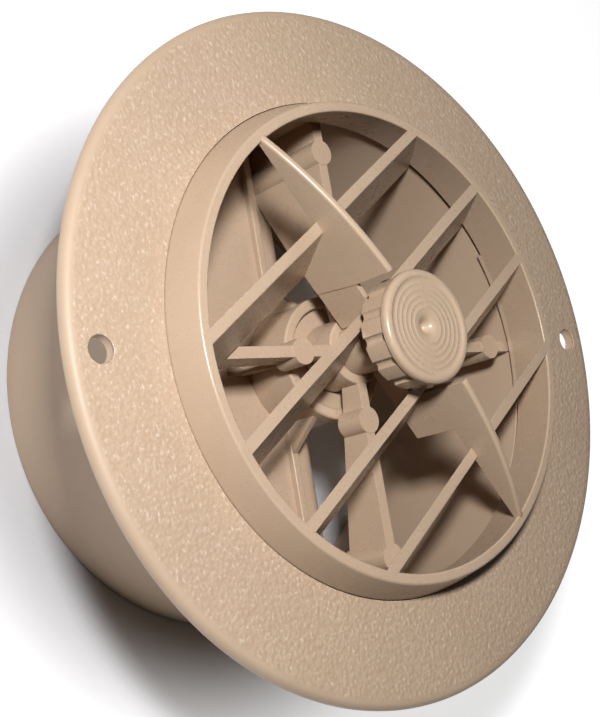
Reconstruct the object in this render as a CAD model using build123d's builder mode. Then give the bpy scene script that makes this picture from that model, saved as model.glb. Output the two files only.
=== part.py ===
# Round duct register with a turning vane grille and a knob-driven rotary damper.
# Millimetres. The register's axis is Z, with the face up and the duct collar down.
# X runs through the two screw holes. Z = 0 is the flange's back, the face that meets the panel.
import os
from math import cos, radians, sin, tan

from build123d import *

os.makedirs("parts", exist_ok=True)

# Flange and duct collar
flange_d = 139.7
flange_t = 2.5
flange_round = 1.6
hole_d = 4.9
hole_edge = 6.35
collar_d = 101.2
collar_wall = 2.0
collar_depth = 53.0
collar_root_round = 1.0
rear_chamfer = 0.4
face_z = flange_t

# Clearances between pieces
slide_gap = 0.3
rim_gap = 0.25
seat_gap = 0.15
running_gap = 0.05
layer_gap = 0.4

# Turning grille: conical ring, drum behind it, vanes and spine
ring_h = 6.85
ring_land = 1.6
ring_taper = 2.2
ring_lip = 2.1
ring_round = 0.6
drum_wall = 2.3
drum_rear = 3.3
tab_rear = 4.5
tab_arc = 42.0
tab_count = 3
bead_h = 0.55
bead_lead = 0.6
bead_float = 0.5
recess_depth = 1.6
vane_angle = 34.9
vane_pitch = 18.4
vane_shift = -1.1
vane_t = 2.0
vane_tilt = 31.0
vane_count = 4
dip_r = 30.0
dip_h = 2.2
spine_t = 1.6
spine_inner_t = 1.2
spine_step_u = 14.0
fin_end_u = 13.0
fin_top = 15.1
fin_mid_u = 29.5
fin_mid_h = 12.7
fin_foot = 5.6
window_u = 22.7
shank_clear = 1.0

# Spider in the collar's mouth
spider_front = 5.2
arm_t = 2.3
arm_count = 4
web_hub = 4.5
web_wall = 12.5
pad_r = 2.7
pad_proud = 0.2
pad_round = 0.15
peg_pcr = 14.3
peg_len = 6.3
foot_pcr = 41.6
foot_len = 11.5
stop_hub = 7.6
stop_wall = 27.5
stop_foot_len = 22.0
bush_r = 7.0
bush_len = 8.0

# Damper: fixed half wall with a cross bar, and the half-round shutter that turns over it
wall_front = 26.0
wall_t = 2.0
bar_r = 4.0
shutter_t = 1.8
edge_gap = 0.4
edge_rib_w = 1.8
edge_rib_h = 1.4
cup_r = 12.9
cup_wall = 2.3
cup_front = 12.0
cup_recess = 1.6
cup_floor = 2.4
cup_round = 0.5
socket_r = 5.6
socket_len = 4.0
gusset_reach = 6.0
gusset_drop = 1.5

# Knob
cap_r = 11.2
cap_front = 15.05
cap_t = 1.8
cap_round = 1.05
cap_lip_round = 0.25
skirt_r = 10.9
skirt_len = 5.4
flute_r = 1.0
flute_count = 14
flute_cut = 0.7
flute_turn = 9.0
dimple_r = 2.5
dimple_h = 2.0
groove_count = 5
groove_start = 3.5
groove_pitch = 1.25
groove_half = 0.4
groove_depth = 0.34
shank_r = 5.2
shaft_r = 4.0
stub_w = 5.2

# Sizes that follow from the ones above
flange_r = flange_d / 2
hole_r = flange_r - hole_edge
collar_ro = collar_d / 2
collar_ri = collar_ro - collar_wall
rear_z = -collar_depth
drum_r = collar_ri - slide_gap
drum_inner_r = drum_r - drum_wall
ring_base_r = drum_r + ring_land
ring_front_r = ring_base_r - ring_taper
ring_mouth_r = ring_front_r - ring_lip
bead_r = drum_r + bead_h
groove_wall_r = bead_r + slide_gap
recess_r = ring_base_r + rim_gap
recess_z = face_z - recess_depth
ring_front_z = face_z + ring_h
drum_rear_z = face_z - drum_rear
tab_rear_z = face_z - tab_rear
groove_top_z = drum_rear_z + bead_lead + 0.1
groove_low_z = tab_rear_z - bead_float
spider_z = face_z - spider_front
root_r = collar_ri + 0.4 * collar_wall
wall_z = face_z - wall_front
bar_z = wall_z - bar_r
shutter_low_z = wall_z + layer_gap
shutter_top_z = shutter_low_z + shutter_t
shutter_r = collar_ri - layer_gap
shutter_edge_x = -(bar_r + edge_gap)
cup_front_z = face_z - cup_front
cup_inner_r = cup_r - cup_wall
stop_start_r = cup_r + layer_gap
floor_top_z = cup_front_z - cup_recess
floor_low_z = floor_top_z - cup_floor
bush_low_z = spider_z - bush_len
cap_front_z = face_z + cap_front
cap_back_z = cap_front_z - cap_t
skirt_back_z = cap_back_z - skirt_len
bush_bore_r = shaft_r + running_gap
clear_r = shank_r + shank_clear

# Grille axes: u crosses the vanes, up the face to the left; the plane below holds u and Z
cross_angle = vane_angle + 90.0
u_dir = (cos(radians(cross_angle)), sin(radians(cross_angle)), 0)
along_dir = (u_dir[1], -u_dir[0], 0)
cross_plane = Plane(origin=(0, 0, 0), x_dir=u_dir, z_dir=along_dir)
vane_run = (ring_front_z - tab_rear_z) * tan(radians(vane_tilt))
vane_half = vane_t / cos(radians(vane_tilt)) / 2
top_vane_u = vane_shift + (vane_count - 1) / 2 * vane_pitch


# One spider arm: a web that deepens towards the collar, with its two moulded pads
with BuildPart() as arm:
    with BuildSketch(Plane.XZ):
        with BuildLine():
            Polyline(
                (bush_r - 1.5, spider_z),
                (root_r, spider_z),
                (root_r, spider_z - web_wall),
                (bush_r - 1.5, spider_z - web_hub),
                close=True,
            )
        make_face()
    extrude(amount=arm_t / 2, both=True)
    with Locations((peg_pcr, 0, spider_z + pad_proud - peg_len / 2)):
        Cylinder(pad_r, peg_len)
    with Locations((foot_pcr, 0, spider_z + pad_proud - foot_len / 2)):
        Cylinder(pad_r, foot_len)
    pad_rims = arm.edges().filter_by(GeomType.CIRCLE).group_by(Axis.Z)[-1]
    fillet(pad_rims, pad_round)


# The arm at the top has a deeper web and a longer foot, the stop for both ends of the damper's turn
with BuildPart() as stop_web:
    with BuildSketch(Plane.YZ):
        with BuildLine():
            Polyline(
                (stop_start_r, spider_z),
                (root_r, spider_z),
                (root_r, spider_z - stop_wall),
                (stop_start_r, spider_z - stop_hub),
                close=True,
            )
        make_face()
    extrude(amount=arm_t / 2, both=True)
    with Locations((0, foot_pcr, spider_z)):
        Cylinder(pad_r, stop_foot_len, align=(Align.CENTER, Align.CENTER, Align.MAX))


# Housing: flange, collar, spider, fixed half wall and cross bar are one moulding
with BuildPart() as housing:
    with BuildSketch(Plane.XZ):
        with BuildLine():
            Polyline(
                (collar_ri, rear_z),
                (collar_ro, rear_z),
                (collar_ro, 0),
                (flange_r, 0),
                (flange_r, face_z),
                (recess_r, face_z),
                (recess_r, recess_z),
                (collar_ri, recess_z),
                (collar_ri, groove_top_z),
                (groove_wall_r, groove_top_z),
                (groove_wall_r, groove_low_z),
                (collar_ri, groove_low_z),
                close=True,
            )
        make_face()
    revolve(axis=Axis.Z)
    circles = housing.edges().filter_by(GeomType.CIRCLE)
    front_rim = circles.filter_by(lambda e: abs(e.radius - flange_r) < 0.01).sort_by(Axis.Z)[-1]
    fillet(front_rim, flange_round)
    circles = housing.edges().filter_by(GeomType.CIRCLE)
    collar_root = circles.filter_by(lambda e: abs(e.radius - collar_ro) < 0.01).sort_by(Axis.Z)[-1]
    fillet(collar_root, collar_root_round)
    circles = housing.edges().filter_by(GeomType.CIRCLE)
    chamfer(circles.group_by(Axis.Z)[0], rear_chamfer)
    with Locations((hole_r, 0, face_z), (-hole_r, 0, face_z)):
        Hole(hole_d / 2, depth=flange_t)
    with PolarLocations(0, arm_count):
        add(arm.part)
    add(stop_web.part)
    with Locations((0, 0, spider_z - bush_len / 2)):
        Cylinder(bush_r, bush_len)
    with Locations((0, 0, spider_z - bush_len / 2)):
        Cylinder(bush_bore_r, bush_len, mode=Mode.SUBTRACT)
    with BuildSketch(Plane.XY.offset(wall_z - wall_t)):
        Circle(root_r)
        with Locations((root_r / 2, 0)):
            Rectangle(root_r, 2 * root_r, mode=Mode.SUBTRACT)
    extrude(amount=wall_t)
    with Locations(Location((0, 0, bar_z), (90, 0, 0))):
        Cylinder(bar_r, 2 * root_r)
housing.part.label = "housing"
export_step(housing.part, "parts/housing.step")


# One snap tab of the grille's drum, with the bead that runs in the collar's groove
with BuildPart() as tab:
    with BuildSketch(Plane.XZ):
        with BuildLine():
            Polyline(
                (drum_inner_r, drum_rear_z + bead_lead),
                (drum_r, drum_rear_z + bead_lead),
                (bead_r, drum_rear_z - 0.1),
                (bead_r, tab_rear_z + 0.4),
                (drum_r, tab_rear_z),
                (drum_inner_r, tab_rear_z),
                close=True,
            )
        make_face()
    revolve(axis=Axis.Z, revolution_arc=tab_arc)


# The slanted vanes, trimmed to the drum, dished towards the knob and clear of its shank
with BuildPart() as vanes:
    with BuildSketch(cross_plane):
        for i in range(vane_count):
            u0 = vane_shift + (i - (vane_count - 1) / 2) * vane_pitch
            with Locations((u0, 0)):
                Polygon(
                    (-vane_half, ring_front_z),
                    (vane_half, ring_front_z),
                    (vane_half - vane_run, tab_rear_z),
                    (-vane_half - vane_run, tab_rear_z),
                    align=None,
                )
    extrude(amount=ring_base_r, both=True)
    Cylinder((drum_inner_r + drum_r) / 2, 60, mode=Mode.INTERSECT)
    with BuildSketch(Plane.XZ):
        Polygon(
            (0, ring_front_z - dip_h),
            (dip_r, ring_front_z),
            (dip_r, ring_front_z + 4),
            (0, ring_front_z + 4),
            align=None,
        )
    revolve(axis=Axis.Z, mode=Mode.SUBTRACT)
    Cylinder(clear_r, 60, mode=Mode.SUBTRACT)


# The spine across the vanes: two arched fins that rise beside the knob
with BuildPart() as spine:
    with BuildSketch(cross_plane):
        with BuildLine():
            Polyline(
                (ring_mouth_r + 1, ring_front_z),
                (ring_mouth_r + 1, face_z + fin_foot),
                (top_vane_u, face_z + fin_foot),
                (top_vane_u - vane_run, tab_rear_z),
                (spine_step_u, tab_rear_z),
                (fin_end_u, face_z + fin_foot),
                (fin_end_u, face_z + fin_top),
            )
            ThreePointArc(
                (fin_end_u, face_z + fin_top),
                (fin_mid_u, face_z + fin_mid_h),
                (ring_mouth_r + 1, ring_front_z),
            )
        make_face()
        with BuildLine():
            Polyline(
                (-ring_mouth_r - 1, ring_front_z),
                (-ring_mouth_r - 1, face_z + fin_foot),
                (-window_u, face_z + fin_foot),
                (-window_u, tab_rear_z),
                (-spine_step_u, tab_rear_z),
                (-fin_end_u, face_z),
                (-fin_end_u, face_z + fin_top),
            )
            ThreePointArc(
                (-fin_end_u, face_z + fin_top),
                (-fin_mid_u, face_z + fin_mid_h),
                (-ring_mouth_r - 1, ring_front_z),
            )
        make_face()
    extrude(amount=spine_t / 2, both=True)
    crests = spine.edges().filter_by(GeomType.CIRCLE)
    fillet(crests, 0.45 * spine_t)
    with BuildSketch(cross_plane):
        Polygon(
            (spine_step_u + 0.5, tab_rear_z),
            (fin_end_u + 0.5, face_z + fin_foot),
            (0, face_z + fin_foot),
            (0, tab_rear_z),
            align=None,
        )
        Polygon(
            (-spine_step_u - 0.5, tab_rear_z),
            (-fin_end_u - 0.5, face_z + 1.0),
            (0, face_z + 1.0),
            (0, tab_rear_z),
            align=None,
        )
    extrude(amount=spine_inner_t / 2, both=True)
    Cylinder(clear_r, 60, mode=Mode.SUBTRACT)


# Turning grille: conical ring, snap tabs, vanes and spine are one moulding
with BuildPart() as deflector_grille:
    with BuildSketch(Plane.XZ):
        with BuildLine():
            Polyline(
                (ring_base_r, recess_z + seat_gap),
                (ring_base_r, face_z),
                (ring_front_r, ring_front_z),
                (ring_mouth_r, ring_front_z),
                (drum_inner_r, drum_rear_z),
                (drum_r, drum_rear_z),
                (drum_r, recess_z + seat_gap),
                close=True,
            )
        make_face()
    revolve(axis=Axis.Z)
    ring_edges = deflector_grille.edges().filter_by(GeomType.CIRCLE).group_by(Axis.Z)[-1]
    fillet(ring_edges, ring_round)
    with PolarLocations(0, tab_count, start_angle=cross_angle - tab_arc / 2):
        add(tab.part)
    add(vanes.part)
    add(spine.part)
deflector_grille.part.label = "deflector_grille"
export_step(deflector_grille.part, "parts/deflector_grille.step")


# Damper shutter: hollow hub cup and the half-round blade, stiffened along its straight edge
with BuildPart() as damper_shutter:
    with BuildSketch(Plane.XY.offset(shutter_low_z)):
        Circle(shutter_r)
        with Locations((shutter_edge_x + shutter_r, 0)):
            Rectangle(2 * shutter_r, 2 * shutter_r, mode=Mode.SUBTRACT)
    extrude(amount=shutter_t)
    rib_len = 2 * (shutter_r**2 - (shutter_edge_x - edge_rib_w) ** 2) ** 0.5 - 1.0
    with Locations((shutter_edge_x - edge_rib_w / 2, 0, shutter_top_z)):
        Box(edge_rib_w, rib_len, edge_rib_h, align=(Align.CENTER, Align.CENTER, Align.MIN))
    with BuildSketch(Plane.YZ.offset(shutter_edge_x - edge_rib_w)):
        Polygon(
            (gusset_reach + cup_r, shutter_top_z),
            (cup_r - 2, cup_front_z - gusset_drop),
            (2 - cup_r, cup_front_z - gusset_drop),
            (-gusset_reach - cup_r, shutter_top_z),
            align=None,
        )
    extrude(amount=edge_rib_w)
    with BuildSketch(Plane.XZ):
        Polygon(
            (-gusset_reach - cup_r, shutter_top_z - 0.5),
            (-cup_r + 1, cup_front_z - gusset_drop),
            (-cup_r + 1, shutter_top_z - 0.5),
            align=None,
        )
    extrude(amount=edge_rib_w / 2, both=True)
    cup_len = cup_front_z - shutter_low_z
    with Locations((0, 0, cup_front_z)):
        Cylinder(cup_r, cup_len, align=(Align.CENTER, Align.CENTER, Align.MAX))
    with Locations((0, 0, cup_front_z)):
        Cylinder(
            cup_inner_r, cup_recess, align=(Align.CENTER, Align.CENTER, Align.MAX), mode=Mode.SUBTRACT
        )
    with Locations((0, 0, shutter_low_z)):
        Cylinder(
            cup_inner_r,
            floor_low_z - shutter_low_z,
            align=(Align.CENTER, Align.CENTER, Align.MIN),
            mode=Mode.SUBTRACT,
        )
    with Locations((0, 0, floor_low_z)):
        Cylinder(socket_r, socket_len, align=(Align.CENTER, Align.CENTER, Align.MAX))
    with Locations((0, 0, floor_low_z - socket_len)):
        Box(
            stub_w,
            stub_w,
            cup_floor + socket_len,
            align=(Align.CENTER, Align.CENTER, Align.MIN),
            mode=Mode.SUBTRACT,
        )
    cup_rims = damper_shutter.edges().filter_by(GeomType.CIRCLE).group_by(Axis.Z)[-1]
    fillet(cup_rims, cup_round)
damper_shutter.part.label = "damper_shutter"
export_step(damper_shutter.part, "parts/damper_shutter.step")


# Damper knob: ringed cap, fluted skirt, shank, and the shaft whose square end drives the shutter
with BuildPart() as damper_knob:
    with BuildSketch(Plane.XZ):
        with BuildLine():
            Polyline(
                (0, floor_top_z),
                (shaft_r, floor_top_z),
                (shaft_r, spider_z),
                (shank_r, spider_z),
                (shank_r, skirt_back_z),
                (skirt_r, skirt_back_z),
                (skirt_r, cap_back_z),
                (cap_r, cap_back_z),
                (cap_r, cap_front_z),
                (dimple_r, cap_front_z),
                (0, cap_front_z - dimple_h),
                close=True,
            )
        make_face()
    revolve(axis=Axis.Z)
    cap_edges = damper_knob.edges().filter_by(GeomType.CIRCLE)
    cap_rim = cap_edges.filter_by(lambda e: abs(e.radius - cap_r) < 0.01).sort_by(Axis.Z)
    fillet(cap_rim[-1], cap_round)
    cap_edges = damper_knob.edges().filter_by(GeomType.CIRCLE)
    cap_lip = cap_edges.filter_by(lambda e: abs(e.radius - cap_r) < 0.01).sort_by(Axis.Z)
    fillet(cap_lip[0], cap_lip_round)
    with BuildSketch(Plane.XZ):
        for i in range(groove_count):
            with Locations((groove_start + i * groove_pitch, cap_front_z)):
                Polygon((-groove_half, 0), (groove_half, 0), (0, -groove_depth), align=None)
    revolve(axis=Axis.Z, mode=Mode.SUBTRACT)
    with Locations((0, 0, skirt_back_z)):
        with PolarLocations(skirt_r + flute_r - flute_cut, flute_count, start_angle=flute_turn):
            Cylinder(
                flute_r, skirt_len, align=(Align.CENTER, Align.CENTER, Align.MIN), mode=Mode.SUBTRACT
            )
    with Locations((0, 0, floor_low_z - socket_len)):
        Box(
            stub_w,
            stub_w,
            cup_floor + socket_len + 1.0,
            align=(Align.CENTER, Align.CENTER, Align.MIN),
        )
damper_knob.part.label = "damper_knob"
export_step(damper_knob.part, "parts/damper_knob.step")
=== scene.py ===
# %% [markdown]
# # A round air register, modelled and dressed
# This lesson dresses a moulded plastic duct register: a flange with a short duct collar, a turning
# grille of slanted vanes, a knob in its middle and a half-round damper behind it.
# The measured solids come in first, as a fixed frame. Every piece below is then modelled over its
# solid with ordinary modelling steps, so that edges are softened and catch the light.

# %% Load the measured frame
from math import atan2, cos, degrees, pi, radians, sin

import bmesh
import bpy
from mathutils import Matrix, Vector


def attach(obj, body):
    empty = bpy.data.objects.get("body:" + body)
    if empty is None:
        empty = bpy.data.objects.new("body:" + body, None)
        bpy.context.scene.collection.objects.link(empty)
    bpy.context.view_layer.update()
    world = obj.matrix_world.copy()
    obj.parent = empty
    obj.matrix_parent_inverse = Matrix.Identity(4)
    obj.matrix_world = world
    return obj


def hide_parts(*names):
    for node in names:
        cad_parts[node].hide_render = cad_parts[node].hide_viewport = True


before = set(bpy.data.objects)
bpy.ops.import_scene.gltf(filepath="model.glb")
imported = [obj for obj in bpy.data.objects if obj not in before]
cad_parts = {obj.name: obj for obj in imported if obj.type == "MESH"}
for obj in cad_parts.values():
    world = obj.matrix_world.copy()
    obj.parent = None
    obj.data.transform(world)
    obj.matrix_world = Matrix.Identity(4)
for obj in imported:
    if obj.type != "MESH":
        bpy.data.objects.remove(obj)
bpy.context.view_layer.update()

print("nodes:", sorted(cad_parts))

# %% [markdown]
# ## Working large
# The register is 140 mm across, and its finest edges are a tenth of a millimetre.
# Pieces could be drawn in metres from the start, but many modelling steps merge or clamp at fixed
# tiny lengths. So each piece is drawn in millimetres, a thousand times too big, and shrunk once at
# the end. An operator acts on all that is selected, so every step starts with nothing selected.

# %% Small helpers for selecting
def nothing_selected():
    """Back to object mode with nothing selected."""
    active = bpy.context.view_layer.objects.active
    if active is not None and active.mode != "OBJECT":
        bpy.ops.object.mode_set(mode="OBJECT")
    bpy.ops.object.select_all(action="DESELECT")


def only(piece):
    """Makes one piece active, and nothing else selected."""
    nothing_selected()
    piece.select_set(True)
    bpy.context.view_layer.objects.active = piece


def pick(piece, kind, test):
    """In edit mode, selects the vertices, edges or faces whose middle passes the test."""
    order = ("verts", "edges", "faces")
    bpy.context.tool_settings.mesh_select_mode = [k == kind for k in order]
    bpy.ops.mesh.select_all(action="DESELECT")
    shape = bmesh.from_edit_mesh(piece.data)
    found = 0
    for item in getattr(shape, kind):
        if kind == "verts":
            middle = item.co
        elif kind == "edges":
            middle = (item.verts[0].co + item.verts[1].co) / 2
        else:
            middle = item.calc_center_median()
        if test(middle, item):
            item.select_set(True)
            found += 1
    shape.select_flush_mode()
    bmesh.update_edit_mesh(piece.data)
    return found


nothing_selected()
print("selected now:", len(bpy.context.selected_objects))

# %% [markdown]
# ## Drawing an outline
# Most of these mouldings are either turned shapes or flat plates, so both start from an outline.
# A curve could give it, but one point extruded from corner to corner leaves exact corners, and the
# corners that a mould rounds are then bevelled before the outline is spun or thickened.

# %% Helpers for outlines, turned shapes and plates
def draw_outline(name, corners):
    """One point, extruded from corner to corner and filled; stays in edit mode."""
    nothing_selected()
    bpy.ops.mesh.primitive_plane_add(size=1)
    piece = bpy.context.object
    piece.name = piece.data.name = name
    bpy.ops.object.mode_set(mode="EDIT")
    bpy.context.tool_settings.mesh_select_mode = (True, False, False)
    bpy.ops.mesh.select_all(action="SELECT")
    bpy.ops.mesh.merge(type="CENTER")
    bpy.ops.transform.translate(value=corners[0])
    for here, there in zip(corners, corners[1:]):
        step = Vector(there) - Vector(here)
        bpy.ops.mesh.extrude_vertices_move(TRANSFORM_OT_translate={"value": step})
    bpy.ops.mesh.select_all(action="SELECT")
    bpy.ops.mesh.edge_face_add()
    return piece


def round_corners(piece, corners, radius, segments):
    """Bevels an outline's corners into arcs."""
    pick(piece, "verts", lambda at, v: any((at - Vector(c)).length < 0.01 for c in corners))
    bpy.ops.mesh.bevel(affect="VERTICES", offset=radius, segments=segments)


def turn(piece, steps):
    """Spins an outline in the XZ plane once round the Z axis."""
    bpy.ops.mesh.select_all(action="SELECT")
    bpy.ops.mesh.delete(type="ONLY_FACE")
    bpy.ops.mesh.select_all(action="SELECT")
    bpy.ops.mesh.spin(steps=steps, angle=2 * pi, center=(0, 0, 0), axis=(0, 0, 1))
    tidy_mesh(piece)
    return piece


def thicken(piece, by):
    """Extrudes a filled outline into a plate."""
    bpy.ops.mesh.select_all(action="SELECT")
    bpy.ops.mesh.extrude_region_move(TRANSFORM_OT_translate={"value": by})
    tidy_mesh(piece)
    return piece


def tidy_mesh(piece):
    """Merges doubles, turns faces outwards and leaves edit mode."""
    bpy.ops.mesh.select_all(action="SELECT")
    bpy.ops.mesh.remove_doubles(threshold=0.0005)
    bpy.ops.mesh.normals_make_consistent(inside=False)
    bpy.ops.object.mode_set(mode="OBJECT")


def at(radius, height):
    """A corner of a turned shape's outline."""
    return (radius, 0, height)


print("outline helpers ready")

# %% [markdown]
# ## Joining, cutting and softening
# Moulded plastic has no knife edges: every corner has a small radius that shows as a thin bright
# line. A Bevel modifier limited by angle gives that line everywhere at once, and a Weighted Normal
# modifier keeps the flat faces between them flat. Cuts are Boolean modifiers, applied at once.

# %% Helpers for modifiers
def use_modifier(piece, kind, settings):
    """Adds one modifier, sets it up and applies it."""
    only(piece)
    bpy.ops.object.modifier_add(type=kind)
    modifier = piece.modifiers[-1]
    for name, value in settings.items():
        setattr(modifier, name, value)
    bpy.ops.object.modifier_apply(modifier=modifier.name)


def combine(piece, tool, operation):
    """Cuts, trims or joins a piece by another, which is used up."""
    use_modifier(piece, "BOOLEAN", {"object": tool, "operation": operation, "solver": "EXACT"})
    bpy.data.objects.remove(tool)
    return piece


def soften(piece, width, segments=2, angle=35):
    """Rounds every edge sharper than the angle."""
    use_modifier(
        piece,
        "BEVEL",
        {
            "width": width,
            "segments": segments,
            "limit_method": "ANGLE",
            "angle_limit": radians(angle),
        },
    )
    return piece


def rod(radius, low, high, sides=64):
    """A plain cylinder on the Z axis, for cutting and trimming."""
    nothing_selected()
    bpy.ops.mesh.primitive_cylinder_add(
        vertices=sides, radius=radius, depth=high - low, location=(0, 0, (low + high) / 2)
    )
    bpy.ops.object.transform_apply(location=True)
    return bpy.context.object


def block(size, middle):
    """A plain box about its middle."""
    nothing_selected()
    bpy.ops.mesh.primitive_cube_add(size=1)
    piece = bpy.context.object
    piece.scale, piece.location = size, middle
    bpy.ops.object.transform_apply(location=True, scale=True)
    return piece


def half_disc(radius, edge, low, thickness):
    """A disc bisected along X = edge, with its -X side kept, and thickened."""
    nothing_selected()
    bpy.ops.mesh.primitive_circle_add(
        vertices=180, radius=radius, fill_type="NGON", location=(0, 0, low)
    )
    bpy.ops.object.transform_apply(location=True)
    piece = bpy.context.object
    bpy.ops.object.mode_set(mode="EDIT")
    bpy.ops.mesh.select_all(action="SELECT")
    bpy.ops.mesh.bisect(plane_co=(edge, 0, 0), plane_no=(1, 0, 0), clear_outer=True)
    return thicken(piece, (0, 0, thickness))


def shift(piece, by=(0, 0, 0), turned=0.0):
    """Moves a piece, and turns it about Z, leaving its object at the origin."""
    only(piece)
    piece.location = by
    piece.rotation_euler = (0, 0, turned)
    bpy.ops.object.transform_apply(location=True, rotation=True)
    return piece


def twin(piece):
    """A copy with its own mesh."""
    only(piece)
    bpy.ops.object.duplicate(linked=False)
    return bpy.context.object


def gather(name, parts):
    """Joins parts into one piece."""
    only(parts[0])
    for part in parts[1:]:
        part.select_set(True)
    bpy.ops.object.join()
    parts[0].name = parts[0].data.name = name
    return parts[0]


print("modifier helpers ready")

# %% [markdown]
# ## Shader sums
# A finish is a few textures mixed by sums. Wiring each Math node by hand hides what is meant, so
# one small class wraps a socket: an expression on values then adds its own Math nodes.

# %% The class that wraps a socket
class Flow:
    """A socket that takes part in sums."""

    def __init__(self, tree, socket=None):
        self.tree = tree
        self.socket = socket

    def node(self, kind, settings, inputs, output=0):
        """Any node: its type, its settings first, then the values or links of its sockets."""
        made = self.tree.nodes.new(kind)
        for name, value in settings.items():
            setattr(made, name, value)
        for name, value in inputs.items():
            if isinstance(value, Flow):
                self.tree.links.new(value.socket, made.inputs[name])
            else:
                made.inputs[name].default_value = value
        return Flow(self.tree, made.outputs[output])

    def sum(self, operation, first, second):
        return self.node("ShaderNodeMath", {"operation": operation}, {0: first, 1: second})

    def __add__(self, other):
        return self.sum("ADD", self, other)

    def __radd__(self, other):
        return self.sum("ADD", other, self)

    def __sub__(self, other):
        return self.sum("SUBTRACT", self, other)

    def __rsub__(self, other):
        return self.sum("SUBTRACT", other, self)

    def __mul__(self, other):
        return self.sum("MULTIPLY", self, other)

    def __rmul__(self, other):
        return self.sum("MULTIPLY", other, self)

    def __pow__(self, other):
        return self.sum("POWER", self, other)


def millimetres(flow):
    """The place on the piece, in millimetres."""
    place = flow.node("ShaderNodeTexCoord", {}, {}, "Object")
    return place.node("ShaderNodeVectorMath", {"operation": "SCALE"}, {0: place, "Scale": 1000.0})


def step_between(flow, value, low, high):
    """0 below low, 1 above high, smooth in between."""
    return flow.node(
        "ShaderNodeMapRange",
        {"interpolation_type": "SMOOTHSTEP"},
        {"Value": value, "From Min": low, "From Max": high},
    )


def noise(flow, place, scale, detail, roughness=0.5):
    """Cloudy noise, with scale in repeats to the millimetre."""
    return flow.node(
        "ShaderNodeTexNoise",
        {},
        {"Vector": place, "Scale": scale, "Detail": detail, "Roughness": roughness},
    )


def fade(flow, share, first, second):
    """One colour fading into another."""
    return flow.node("ShaderNodeMix", {"data_type": "RGBA"}, {0: share, 6: first, 7: second}, 2)


def bump(flow, strength, metres, height):
    return flow.node(
        "ShaderNodeBump", {}, {"Strength": strength, "Distance": metres, "Height": height}
    )


def axes(flow, place):
    """The place's X, Y and Z, and its distance from the register's axis."""
    apart = flow.node("ShaderNodeSeparateXYZ", {}, {0: place}).socket.node
    x, y, z = (Flow(flow.tree, apart.outputs[name]) for name in "XYZ")
    return x, y, z, (x * x + y * y) ** 0.5


print("shader sums ready")

# %% [markdown]
# ## Tan plastic, smooth and grained
# The whole register is one warm tan plastic. The grille, the knob and the damper are satin, with
# very faint flow marks and a few fine specks. The flange's face has a pebble grain from the mould,
# a little under a millimetre across, and it stops short of the plain rim. The grain's pits are
# painted darker as painted shade, and small pale spots are painted into its colour as painted
# glints of the light, and these spots are also glossier. Painted textures could do this, but noise
# on Object coordinates keeps its true size on every piece and needs no picture. The grain is masked
# by radius and height, so it lies on the flange's face alone.

# %% The two finishes
TAN = (0.462, 0.337, 0.236, 1)
TAN_PALE = (0.488, 0.359, 0.255, 1)
TAN_DEEP = (0.395, 0.278, 0.186, 1)
# The last tan is paler. It is painted into the flange's grain as painted glints.
TAN_PAINTED_GLINT = (0.720, 0.630, 0.520, 1)


def tan_colour(flow, place, depth):
    """Tan with broad flow marks, fine specks, and a deeper tone where depth is high: a random darker
    tone on the satin finish, painted shade in the grain's pits on the flange.
    """
    clouds = noise(flow, place, 0.055, 3.0, 0.55)
    streaks = noise(flow, place, 0.6, 4.0, 0.6)
    marks = step_between(flow, 0.7 * clouds + 0.3 * streaks, 0.32, 0.68)
    specks = 0.08 * step_between(flow, noise(flow, place, 2.3, 1.0), 0.70, 0.78)
    body = fade(flow, marks, TAN, TAN_PALE)
    return fade(flow, specks, fade(flow, depth, body, TAN_DEEP), TAN_DEEP)


def new_finish(name):
    """An empty material with its Principled shader, and a flow to add nodes with."""
    finish = bpy.data.materials.new(name)
    finish.use_nodes = True
    shader = finish.node_tree.nodes["Principled BSDF"]
    shader.inputs["IOR"].default_value = 1.49
    shader.inputs["Specular IOR Level"].default_value = 0.5
    return finish, shader, Flow(finish.node_tree)


def plug(flow, shader, name, value):
    flow.tree.links.new(value.socket, shader.inputs[name])


smooth_tan, shader, flow = new_finish("smooth_tan_plastic")
place = millimetres(flow)
faint = noise(flow, place, 0.35, 3.0)
skin = noise(flow, place, 1.4, 1.0)
shade = 0.08 * step_between(flow, faint, 0.4, 0.75)
plug(flow, shader, "Base Color", tan_colour(flow, place, shade))
plug(flow, shader, "Roughness", 0.22 + 0.08 * faint + 0.05 * skin)
plug(flow, shader, "Normal", bump(flow, 0.05, 0.00003, 0.7 * skin + 0.3 * faint))
print("made", smooth_tan.name)

grained_tan, shader, flow = new_finish("grained_tan_plastic")
place = millimetres(flow)
GRAIN_EDGE = (67.6, 68.6)
across, along, height, radius = axes(flow, place)
face = step_between(flow, height, 2.0, 2.4) * (1 - step_between(flow, radius, *GRAIN_EDGE))
pebble = flow.node(
    "ShaderNodeTexVoronoi",
    {"feature": "SMOOTH_F1"},
    {"Vector": place, "Scale": 1.2, "Smoothness": 0.5, "Randomness": 1.0},
    "Distance",
)
drawn = flow.node("ShaderNodeMapping", {}, {"Vector": place, "Scale": (1.5, 0.85, 1.0)})
glints = noise(flow, drawn, 1.15, 2.0, 0.6)
swell = noise(flow, place, 0.8, 2.0)
fine = noise(flow, place, 5.0, 2.0)
grain = 0.72 * (1 - pebble) + 0.18 * swell + 0.10 * fine
# Painted shade: the grain's pits are darkened in the colour, as shade falls in them.
painted_pit_shade = face * (1 - step_between(flow, grain, 0.42, 0.60))
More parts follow.
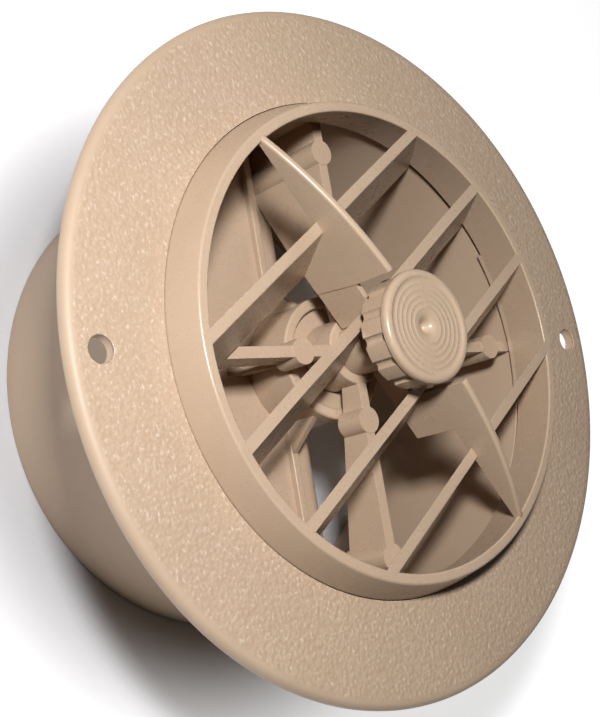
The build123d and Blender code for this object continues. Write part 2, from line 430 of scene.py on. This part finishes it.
# Painted highlight: pale spots from stretched noise stand in for the light's glints on the grain, and
# they are also made glossier.
painted_glint_spots = face * step_between(flow, glints, 0.54, 0.74)
body = tan_colour(flow, place, 0.25 * painted_pit_shade)
plug(flow, shader, "Base Color", fade(flow, 0.55 * painted_glint_spots, body, TAN_PAINTED_GLINT))
plug(flow, shader, "Roughness", 0.48 + 0.08 * fine - 0.17 * face - 0.13 * painted_glint_spots)
plug(flow, shader, "Normal", bump(flow, 0.9, 0.0002, face * grain + 0.01 * (1 - face) * fine))
print("made", grained_tan.name)

# %% [markdown]
# ## Handing a piece over
# A finished piece is shrunk to metres, shaded smooth up to an angle, given its finish, and then
# parented to an empty for the moving body it rides on, while the measured solid it stands for is
# hidden.

# %% Helper that finishes a piece
def hand_over(piece, body, node, finish):
    """Shrinks to metres, shades, dresses and hands the piece to its body."""
    only(piece)
    piece.scale = (0.001, 0.001, 0.001)
    bpy.ops.object.transform_apply(location=True, rotation=True, scale=True)
    bpy.ops.object.shade_smooth_by_angle(angle=radians(38))
    use_modifier(piece, "WEIGHTED_NORMAL", {"keep_sharp": True, "weight": 50})
    piece.data.materials.clear()
    piece.data.materials.append(finish)
    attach(piece, body)
    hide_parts(node)
    corners = [piece.matrix_world @ Vector(c) for c in piece.bound_box]
    size = [max(c[i] for c in corners) - min(c[i] for c in corners) for i in range(3)]
    print(piece.name, "faces", len(piece.data.polygons), "size mm", [round(1000 * s, 2) for s in size])


print("finishing helper ready")

# %% [markdown]
# ## Flange and collar
# The flange covers the rough edge of the hole in the panel, and the collar slides into the duct.
# They are one turned shape, so one outline is spun round the axis: collar, root radius, flange with
# its rounded rim, the shallow recess for the grille's ring and the groove for its snap tabs.

# %% Spin the flange and collar
FLANGE_R, FACE, BACK = 69.85, 2.5, 0.0
COLLAR_OUT, COLLAR_IN, REAR = 50.6, 48.6, -53.0
RECESS_R, RECESS_Z = 50.02, 0.9
GROOVE_R, GROOVE_TOP, GROOVE_LOW, GROOVE_SLOPE = 48.95, -0.1, -2.5, 0.2
HOLE_X, HOLE_R, HOLE_EASE = 63.5, 2.45, 0.28
outline = [
    at(COLLAR_IN, REAR),
    at(COLLAR_OUT, REAR),
    at(COLLAR_OUT, BACK),
    at(FLANGE_R, BACK),
    at(FLANGE_R, FACE),
    at(RECESS_R, FACE),
    at(RECESS_R, RECESS_Z),
    at(COLLAR_IN, RECESS_Z),
    at(COLLAR_IN, GROOVE_TOP),
    at(GROOVE_R, GROOVE_TOP - GROOVE_SLOPE),
    at(GROOVE_R, GROOVE_LOW + GROOVE_SLOPE),
    at(COLLAR_IN, GROOVE_LOW),
]
flange = draw_outline("flange_and_collar", outline)
round_corners(flange, [at(FLANGE_R, FACE)], 1.6, 7)
round_corners(flange, [at(FLANGE_R, BACK)], 0.35, 3)
round_corners(flange, [at(COLLAR_OUT, BACK)], 1.0, 5)
round_corners(flange, [at(COLLAR_IN, REAR), at(COLLAR_OUT, REAR)], 0.5, 4)
round_corners(flange, [at(RECESS_R, FACE)], 0.09, 2)
turn(flange, 216)
print("flange and collar:", len(flange.data.polygons), "faces")

# %% [markdown]
# ## Screw holes
# Two plain holes take the screws, at three and nine o'clock. They could be left to a dark spot of
# colour, but a real hole shows its wall, so each is cut through with a Boolean and its edge eased.

# %% Cut the two screw holes
for side in (-1, 1):
    combine(flange, shift(rod(HOLE_R, -2, 5, 56), (side * HOLE_X, 0, 0)), "DIFFERENCE")
only(flange)
bpy.ops.object.mode_set(mode="EDIT")


def on_hole_edge(middle, edge):
    flat = edge.verts[0].co.z - edge.verts[1].co.z
    centre = Vector((HOLE_X if middle.x > 0 else -HOLE_X, 0))
    out = [abs((v.co.xy - centre).length - HOLE_R) for v in edge.verts]
    return abs(flat) < 0.001 and max(out) < 0.01


found = pick(flange, "edges", on_hole_edge)
bpy.ops.mesh.bevel(affect="EDGES", offset=HOLE_EASE, segments=3)
bpy.ops.object.mode_set(mode="OBJECT")
print("edges eased round the holes:", found)
hand_over(flange, "housing", "housing", grained_tan)

# %% [markdown]
# ## Spider
# Four webs in the collar's mouth carry the bushing that the knob's shaft turns in. Each web deepens
# towards the collar, as a moulded bracket does, and has two round pads left by the ejector pins.
# The web at the top is much deeper and its foot is a long post, since the shutter stops against it.
# Both kinds start as an outline, are thickened, get their pads joined on and their edges softened.
# The plain web is modelled once and copied.

# %% Model the plain web, copy it, and model the deep one
SPIDER_Z, ROOT_R = -2.7, 49.4
WEB_START, WEB_THICK, WEB_HUB_LOW = 5.5, 2.3, -7.2
PAD_R, PAD_PROUD = 2.7, 0.2
PEG_REACH, PEG_LOW, FOOT_REACH = 14.3, -8.8, 41.6


def make_web(name, rear, foot_low):
    """A web in the XZ plane with its inner pad and its foot; rear lists its hind corners."""
    front = [(WEB_START, SPIDER_Z), (ROOT_R, SPIDER_Z)]
    corners = front + rear + [(WEB_START, WEB_HUB_LOW)]
    web = draw_outline(name, [(x, -WEB_THICK / 2, z) for x, z in corners])
    thicken(web, (0, WEB_THICK, 0))
    for reach, low in ((PEG_REACH, PEG_LOW), (FOOT_REACH, foot_low)):
        pad = shift(rod(PAD_R, low, SPIDER_Z + PAD_PROUD, 40), (reach, 0, 0))
        combine(web, pad, "UNION")
    return soften(web, 0.22, 2)


web = make_web("spider", [(ROOT_R, -15.2)], -14.0)
deep = make_web("stop_web", [(ROOT_R, -30.2), (13.3, -10.3), (13.3, -8.6)], -24.7)
webs = [web] + [shift(twin(web), turned=radians(90 * k)) for k in (2, 3)]
webs.append(shift(deep, turned=pi / 2))
print("webs:", len(webs), "faces:", [len(w.data.polygons) for w in webs])

# %% Spin the bushing and join the spider
BORE_R, BUSH_R, BUSH_TOP, BUSH_LOW = 4.05, 7.0, -2.65, -10.7
bore_ends = [at(BORE_R, BUSH_LOW), at(BORE_R, BUSH_TOP)]
bush_ends = [at(BUSH_R, BUSH_TOP), at(BUSH_R, BUSH_LOW)]
bush = draw_outline("bushing", [bore_ends[1], *bush_ends, bore_ends[0]])
round_corners(bush, bush_ends, 0.4, 4)
round_corners(bush, bore_ends, 0.3, 3)
turn(bush, 96)
spider = gather("spider", webs + [bush])
hand_over(spider, "housing", "housing", smooth_tan)

# %% [markdown]
# ## Fixed half wall and cross bar
# Behind the spider a half-round wall closes one half of the duct for good, and a rounded bar runs
# along its straight edge. The wall is a disc, bisected along the bar and thickened. The bar is a
# cylinder whose back is sliced flat, where the mould parts.

# %% Bisect a disc for the wall and slice the bar
WALL_Z, WALL_THICK, BAR_R, BAR_FLAT = -23.5, 2, 4.0, 0.7
wall = half_disc(ROOT_R, 0, WALL_Z - WALL_THICK, WALL_THICK)
nothing_selected()
bpy.ops.mesh.primitive_cylinder_add(
    vertices=64,
    radius=BAR_R,
    depth=2 * ROOT_R,
    location=(0, 0, WALL_Z - BAR_R),
    rotation=(pi / 2, 0, 0),
)
bpy.ops.object.transform_apply(location=True, rotation=True)
bar = bpy.context.object
bpy.ops.object.mode_set(mode="EDIT")
bpy.ops.mesh.select_all(action="SELECT")
bpy.ops.mesh.bisect(
    plane_co=(0, 0, WALL_Z - 2 * BAR_R + BAR_FLAT),
    plane_no=(0, 0, -1),
    clear_outer=True,
    use_fill=True,
)
tidy_mesh(bar)
damper_wall = gather("damper_wall_and_bar", [wall, bar])
print("wall and bar:", len(damper_wall.data.polygons), "faces")
hand_over(damper_wall, "housing", "housing", smooth_tan)

# %% [markdown]
# ## Grille ring
# The turning grille has a conical ring that stands out of the flange, with a short drum behind it
# that turns inside the collar. It is another turned shape. Its front edges are rounded more than
# the rest, since they catch the bright line that is seen all round the mouth.

# %% Spin the ring and its drum
RING_R, RING_SEAT, RING_TOP = 49.9, 1.05, 9.35
MOUTH_OUT, MOUTH_IN = 47.7, 45.6
DRUM_R, DRUM_IN, DRUM_REAR = 48.3, 47.3, -0.8
ring = draw_outline(
    "grille_ring",
    [
        at(RING_R, RING_SEAT),
        at(RING_R, FACE),
        at(MOUTH_OUT, RING_TOP),
        at(MOUTH_IN, RING_TOP),
        at(DRUM_IN, DRUM_REAR),
        at(DRUM_R, DRUM_REAR),
        at(DRUM_R, RING_SEAT),
    ],
)
round_corners(ring, [at(MOUTH_OUT, RING_TOP)], 0.42, 5)
round_corners(ring, [at(MOUTH_IN, RING_TOP)], 0.42, 5)
round_corners(ring, [at(RING_R, FACE)], 0.2, 3)
round_corners(ring, [at(RING_R, RING_SEAT), at(DRUM_R, DRUM_REAR)], 0.25, 3)
turn(ring, 216)
print("ring:", len(ring.data.polygons), "faces")

# %% [markdown]
# ## Snap tabs
# Three tabs with a small bead hold the drum in the collar's groove and let it turn. Each is a short
# arc of a turned shape: a filled outline, spun through 42 degrees only, so its ends are closed.

# %% Spin one tab and copy it
TAB_ARC, U_ANGLE = radians(42), radians(124.9)
TAB_IN, TAB_TOP, TAB_LOW, BEAD_R = 47.35, -0.3, -2.0, 48.85
tab = draw_outline(
    "tab",
    [
        at(TAB_IN, TAB_TOP),
        at(DRUM_R, TAB_TOP),
        at(BEAD_R, -0.9),
        at(BEAD_R, -1.6),
        at(DRUM_R, TAB_LOW),
        at(TAB_IN, TAB_LOW),
    ],
)
bpy.ops.mesh.select_all(action="SELECT")
bpy.ops.mesh.spin(steps=28, angle=TAB_ARC, center=(0, 0, 0), axis=(0, 0, 1))
tidy_mesh(tab)
middle = sum((v.co for v in tab.data.vertices), Vector()) / len(tab.data.vertices)
swing = atan2(middle.y, middle.x)
shift(tab, turned=-swing)
soften(tab, 0.15, 2)
tabs = [tab] + [shift(twin(tab), turned=radians(120 * k)) for k in (1, 2)]
ring = gather("grille_ring", [ring] + tabs)
shift(ring, turned=U_ANGLE)
print("tab arc drawn towards", round(degrees(swing), 1), "degrees, then centred")
hand_over(ring, "grille", "deflector_grille", smooth_tan)

# %% [markdown]
# ## Slanted vanes
# Four vanes steer the air. Each leans back 31 degrees, so a block is stretched to length and its
# rear edge moved over. They are drawn across X and turned with the grille at the end. The copies
# are trimmed to the drum, dished by a shallow cone towards the knob, and cleared round its shank.

# %% Model one vane, lean it back and copy it
VANE_HALF, VANE_REAR, VANE_TOP, LEAN = 1.167, -2.0, RING_TOP - 0.02, 6.82
VANES, FIRST_VANE, VANE_PITCH, VANE_REACH = 4, -28.7, 18.4, 47.2
vane = block((2 * VANE_HALF, 100, VANE_TOP - VANE_REAR), (0, 0, (VANE_TOP + VANE_REAR) / 2))
only(vane)
bpy.ops.object.mode_set(mode="EDIT")
pick(vane, "verts", lambda at, v: at.z < 0)
bpy.ops.transform.translate(value=(-LEAN, 0, 0))
bpy.ops.object.mode_set(mode="OBJECT")
vanes = [shift(twin(vane), (FIRST_VANE + VANE_PITCH * k, 0, 0)) for k in range(VANES)]
bpy.data.objects.remove(vane)
print("vanes:", len(vanes))

# %% Trim, dish and clear the vanes
DIP_R, DIP_LOW, DIP_HIGH, SHANK_ROOM = 30, 7.15, 14, 6.2
for vane in vanes:
    combine(vane, rod(VANE_REACH, -10, 20, 160), "INTERSECT")
    dish = draw_outline(
        "dish", [at(0, DIP_LOW), at(DIP_R, RING_TOP), at(DIP_R, DIP_HIGH), at(0, DIP_HIGH)]
    )
    combine(vane, turn(dish, 120), "DIFFERENCE")
    combine(vane, rod(SHANK_ROOM, -20, 30, 64), "DIFFERENCE")
    soften(vane, 0.2, 3)
vanes = gather("grille_vanes", vanes)
shift(vanes, turned=U_ANGLE)
hand_over(vanes, "grille", "deflector_grille", smooth_tan)

# %% [markdown]
# ## Arched spine
# A spine crosses the vanes and rises in two arched fins beside the knob, which a finger can push to
# turn the grille. Each fin is an outline with an arc for its crest, thickened, and its crest edges
# are bevelled almost to a full round. Thinner plates join the fins round the shank.

# %% Draw the fins and round their crests
FIN_OUT, FIN_END, FIN_FOOT, SPINE_REAR = 46.6, 13, 8.1, -2
FIN_THICK, CREST_ROUND = 1.6, 0.66
CREST = [(FIN_END, 17.6), (29.5, 15.2), (FIN_OUT, 9.3)]


def arc_through(start, middle, end, count):
    """Points on the circle through three points, in the XZ plane."""
    (ax, az), (bx, bz), (cx, cz) = start, middle, end
    d = 2 * (ax * (bz - cz) + bx * (cz - az) + cx * (az - bz))
    a2, b2, c2 = ax * ax + az * az, bx * bx + bz * bz, cx * cx + cz * cz
    ox = (a2 * (bz - cz) + b2 * (cz - az) + c2 * (az - bz)) / d
    oz = (a2 * (cx - bx) + b2 * (ax - cx) + c2 * (bx - ax)) / d
    r = ((ax - ox) ** 2 + (az - oz) ** 2) ** 0.5
    first, last = atan2(az - oz, ax - ox), atan2(cz - oz, cx - ox)
    turns = [first + (last - first) * k / count for k in range(count + 1)]
    return [(ox + r * cos(t), oz + r * sin(t)) for t in turns]


def make_fin(name, foot, crest):
    """A plate in the XZ plane whose crest is rounded."""
    fin = draw_outline(name, [(x, -FIN_THICK / 2, z) for x, z in foot + crest])
    thicken(fin, (0, FIN_THICK, 0))
    bpy.ops.object.mode_set(mode="EDIT")
    on_crest = [Vector((x, 0, z)) for x, z in crest]

    def along_crest(middle, edge):
        ends = [min((Vector((v.co.x, 0, v.co.z)) - c).length for c in on_crest) for v in edge.verts]
        return max(ends) < 0.01 and abs(edge.verts[0].co.y - edge.verts[1].co.y) < 0.01

    found = pick(fin, "edges", along_crest)
    bpy.ops.mesh.bevel(affect="EDGES", offset=CREST_ROUND, segments=5)
    bpy.ops.object.mode_set(mode="OBJECT")
    print(name, "crest edges rounded:", found)
    return fin


upper = make_fin(
    "upper_fin",
    [
        (FIN_OUT, FIN_FOOT),
        (26.5, FIN_FOOT),
        (19.7, SPINE_REAR),
        (14, SPINE_REAR),
        (FIN_END, FIN_FOOT),
    ],
    arc_through(*CREST, 30),
)
lower = make_fin(
    "lower_fin",
    [
        (-FIN_OUT, FIN_FOOT),
        (-22.7, FIN_FOOT),
        (-22.7, SPINE_REAR),
        (-14, SPINE_REAR),
        (-FIN_END, 2.5),
    ],
    arc_through(*[(-x, z) for x, z in CREST], 30),
)

# %% Add the thin plates round the shank
PLATE_THICK, PLATE_ROOM = 1.2, 5.45
plates = []
for name, end, top in (("upper_plate", 14.5, FIN_FOOT), ("lower_plate", -14.5, 3.5)):
    inset = 13.5 if end > 0 else -13.5
    corners = [(end, SPINE_REAR), (inset, top), (0, top), (0, SPINE_REAR)]
    plate = draw_outline(name, [(x, -PLATE_THICK / 2, z) for x, z in corners])
    thicken(plate, (0, PLATE_THICK, 0))
    combine(plate, rod(PLATE_ROOM, -20, 30, 64), "DIFFERENCE")
    plates.append(plate)
for part in (upper, lower, *plates):
    soften(part, 0.16, 2)
spine = gather("grille_spine", [upper, lower] + plates)
shift(spine, turned=U_ANGLE)
hand_over(spine, "grille", "deflector_grille", smooth_tan)

# %% [markdown]
# ## Damper knob
# The knob turns the damper. Its cap has a smooth rolled rim, a set of fine raised rings that stop a
# thumb from slipping, and a funnel in the middle where the plastic entered the mould. The rings are
# part of the spun outline: each is a narrow bead drawn with four points.

# %% Spin the knob with its rings
CAP_R, CAP_TOP, CAP_BACK, SKIRT_R, SKIRT_LOW = 11.2, 17.55, 15.75, 10.9, 10.35
SHAFT_R, SHAFT_END, SHANK_R, SHANK_LOW = 4.0, -11.0, 5.2, -2.7
RING_STEP, RING_RISE, FIRST_RING, RINGS = 1.2, 0.06, 3.5, 5
BEAD_FOOT, BEAD_CREST = 0.17, 0.05
RIM_IN, DISH_R, DISH = 9.75, 9.3, CAP_TOP - 0.32
beads = []
for k in reversed(range(RINGS)):
    r = FIRST_RING + RING_STEP * k
    beads += [
        at(r + BEAD_FOOT, DISH),
        at(r + BEAD_CREST, DISH + RING_RISE),
        at(r - BEAD_CREST, DISH + RING_RISE),
        at(r - BEAD_FOOT, DISH),
    ]
funnel = [(2.9, 0.0), (2.3, 0.16), (1.7, 0.42), (1.2, 0.95), (0.85, 1.6), (0.5, 1.95), (0, 2.0)]
shaft = [
    at(0, SHAFT_END),
    at(SHAFT_R, SHAFT_END),
    at(SHAFT_R, SHANK_LOW),
    at(SHANK_R, SHANK_LOW),
    at(SHANK_R, SKIRT_LOW),
]
cap = [
    at(SKIRT_R, SKIRT_LOW),
    at(SKIRT_R, CAP_BACK),
    at(CAP_R, CAP_BACK),
    at(CAP_R, CAP_TOP),
    at(RIM_IN, CAP_TOP),
    at(DISH_R, DISH),
]
pit = [at(r, DISH - drop) for r, drop in funnel]
knob = draw_outline("damper_knob_body", shaft + cap + beads + pit)
round_corners(knob, [at(CAP_R, CAP_TOP)], 1.0, 8)
round_corners(knob, [at(RIM_IN, CAP_TOP)], 0.22, 3)
round_corners(knob, [at(CAP_R, CAP_BACK)], 0.24, 3)
round_corners(knob, [at(SHANK_R, SHANK_LOW)], 0.4, 3)
turn(knob, 144)
print("knob:", len(knob.data.polygons), "faces")

# %% [markdown]
# ## Fluted skirt and square end
# Fourteen narrow flutes give the fingers a hold, with broad lands between them. One rod is copied
# round the skirt, the rods are joined into one cutter, and one Boolean cuts every flute alike. The
# shaft ends in a square that drives the shutter.

# %% Cut the flutes and add the square
FLUTES, FLUTE_R, FLUTE_REACH, FLUTE_TURN = 14, 1.0, 11.2, radians(9)
cutters = []
for k in range(FLUTES):
    way = FLUTE_TURN + 2 * pi * k / FLUTES
    cutter = rod(FLUTE_R, SKIRT_LOW - 1, CAP_BACK - 0.05, 28)
    cutters.append(shift(cutter, (FLUTE_REACH * cos(way), FLUTE_REACH * sin(way), 0)))
combine(knob, gather("flute_cutter", cutters), "DIFFERENCE")
soften(knob, 0.14, 2, 50)
SQUARE, SQUARE_HOLE = 5.18, 5.2
square = block((SQUARE, SQUARE, 7.4), (0, 0, -13.8))
soften(square, 0.25, 2)
knob = gather("damper_knob_body", [knob, square])
hand_over(knob, "damper", "damper_knob", smooth_tan)

# %% [markdown]
# ## Damper shutter
# The half-round blade swings over the fixed wall to close the duct, or aside to open it. Its hub is
# a hollow cup on the knob's square end, held by gussets. The blade is a disc bisected just short of
# the bar and thickened; the cup is a turned shape with a thin rim.

# %% Bisect a disc for the blade and draw its rib and gussets
EDGE_X, BLADE_LOW, BLADE_TOP, BLADE_R = -4.4, -23.1, -21.3, 48.2
CUP_R, CUP_IN, CUP_RIM, CUP_FLOOR = 12.9, 10.6, -9.5, -11.1
RIB_THICK = 1.8
blade = half_disc(BLADE_R, EDGE_X, BLADE_LOW, BLADE_TOP - BLADE_LOW)
combine(blade, rod(CUP_IN, BLADE_LOW - 1, BLADE_TOP + 1, 72), "DIFFERENCE")
soften(blade, 0.25, 2)
rib_side = ((-47.2, -21.5), (47.2, -21.5), (46.9, -19.9), (-46.9, -19.9))
rib = draw_outline("rib", [(EDGE_X - RIB_THICK, y, z) for y, z in rib_side])
thicken(rib, (RIB_THICK, 0, 0))
soften(rib, 0.3, 3)
print("blade and rib:", len(blade.data.polygons), len(rib.data.polygons))

# %% Gussets that brace the cup
REACH, GUSSET_TOP = 18.9, -11.0
long_side = ((REACH, -21.4), (10.9, GUSSET_TOP), (-10.9, GUSSET_TOP), (-REACH, -21.4))
long_gusset = draw_outline("gusset", [(EDGE_X - 1.65, y, z) for y, z in long_side])
thicken(long_gusset, (1.5, 0, 0))
combine(long_gusset, rod(10.7, -30, 0, 72), "DIFFERENCE")
short_side = ((-REACH, -21.6), (-11.9, GUSSET_TOP), (-11.9, -21.6))
side_gusset = draw_outline("side_gusset", [(x, -0.9, z) for x, z in short_side])
thicken(side_gusset, (0, 1.8, 0))
for part in (long_gusset, side_gusset):
    soften(part, 0.25, 2)
print("gussets:", len(long_gusset.data.polygons), len(side_gusset.data.polygons))

# %% Spin the hub cup, cut its square hole and join the shutter
SOCKET_R, SOCKET_LOW, WEB_LOW = 5.6, -17.5, -13.5
cup = draw_outline(
    "cup",
    [
        at(CUP_R, BLADE_LOW),
        at(CUP_R, CUP_RIM),
        at(CUP_IN, CUP_RIM),
        at(CUP_IN, CUP_FLOOR),
        at(0, CUP_FLOOR),
        at(0, SOCKET_LOW),
        at(SOCKET_R, SOCKET_LOW),
        at(SOCKET_R, WEB_LOW),
        at(CUP_IN, WEB_LOW),
        at(CUP_IN, BLADE_LOW),
    ],
)
round_corners(cup, [at(CUP_R, CUP_RIM), at(CUP_IN, CUP_RIM)], 0.5, 4)
round_corners(cup, [at(CUP_R, BLADE_LOW), at(CUP_IN, BLADE_LOW)], 0.25, 2)
turn(cup, 112)
square = block((SQUARE_HOLE, SQUARE_HOLE, 12), (0, 0, -14.5))
combine(cup, square, "DIFFERENCE")
shutter = gather("damper_shutter_body", [blade, rib, long_gusset, side_gusset, cup])
hand_over(shutter, "damper", "damper_shutter", smooth_tan)

# %% [markdown]
# ## Floor, light and camera
# The register stands on its collar on a pale floor. The floor's colour is painted grey-blue near
# the collar as painted shadow, and the floor glows a little as painted light, like lit paper, less
# on the key light's side and not under the collar. One small key light close to the camera, a little
# above it, gives the short dark shadows behind the vanes and fades across the flange. A wide soft
# panel above, a smaller one behind and a faint world fill the rest, so every side can be seen.

# %% Lay the floor
nothing_selected()
bpy.ops.mesh.primitive_plane_add(size=8, location=(0, 0, 0.001 * REAR))
floor = bpy.context.object
floor.name = "floor"
floor_finish, shader, flow = new_finish("pale_floor")
shader.inputs["Roughness"].default_value = 0.85
shader.inputs["Emission Strength"].default_value = 0.72
across, along, height, radius = axes(flow, millimetres(flow))
# Painted shadow: clear is 0 near the collar, where the floor's colour is painted grey-blue as shadow,
# and 1 further out.
clear = step_between(flow, radius, 60.0, 170.0)
# Painted light: the floor's glow stands in for lit paper. There is none under the collar, and less on
# the key light's side.
lit = step_between(flow, radius, 52.0, 85.0)
lit = lit * (0.45 + 0.55 * step_between(flow, across, -110.0, -50.0))
plug(flow, shader, "Emission Color", fade(flow, lit, (0, 0, 0, 1), (1, 1, 1, 1)))
plug(flow, shader, "Base Color", fade(flow, clear, (0.5, 0.5, 0.52, 1), (0.9, 0.9, 0.9, 1)))
floor.data.materials.append(floor_finish)

# %% Place the camera and the lights
right = Vector((0.74136, -0.16652, 0.65012))
up = Vector((0.02172, 0.97417, 0.22475))
back = Vector((-0.67076, -0.1525, 0.72583))
spot = Vector((-0.178014, -0.038408, 0.173192))
bpy.ops.object.camera_add()
camera = bpy.context.object
camera.data.sensor_width = camera.data.sensor_height = 36
camera.data.lens = 63.384
camera.data.clip_start, camera.data.clip_end = 0.01, 50
camera.matrix_world = Matrix(
    [[right[i], up[i], back[i], spot[i]] for i in range(3)] + [[0, 0, 0, 1]]
)
bpy.context.scene.camera = camera


def panel(name, place, aim, size, watts):
    """A square area light that faces a point."""
    nothing_selected()
    bpy.ops.object.light_add(type="AREA", location=place)
    lamp = bpy.context.object
    lamp.name = name
    lamp.data.size = size
    lamp.data.energy = watts
    lamp.rotation_euler = (Vector(aim) - Vector(place)).to_track_quat("-Z", "Y").to_euler()
    return lamp


panel("key_light", (-0.162, 0.030, 0.204), (0, 0, 0), 0.03, 0.97)
panel("top_panel", (0.3, 0.5, 1.2), (0, 0, 0), 1.2, 0.25)
panel("far_panel", (0.7, 0.35, 0.45), (0, 0, 0), 0.6, 0.25)
world = bpy.data.worlds.new("studio")
bpy.context.scene.world = world
world.use_nodes = True
sky = world.node_tree.nodes["Background"]
sky.inputs["Color"].default_value = (1, 1, 1, 1)
sky.inputs["Strength"].default_value = 0.01
bpy.context.scene.view_settings.view_transform = "Standard"
print("camera at", [round(1000 * v, 1) for v in camera.location])
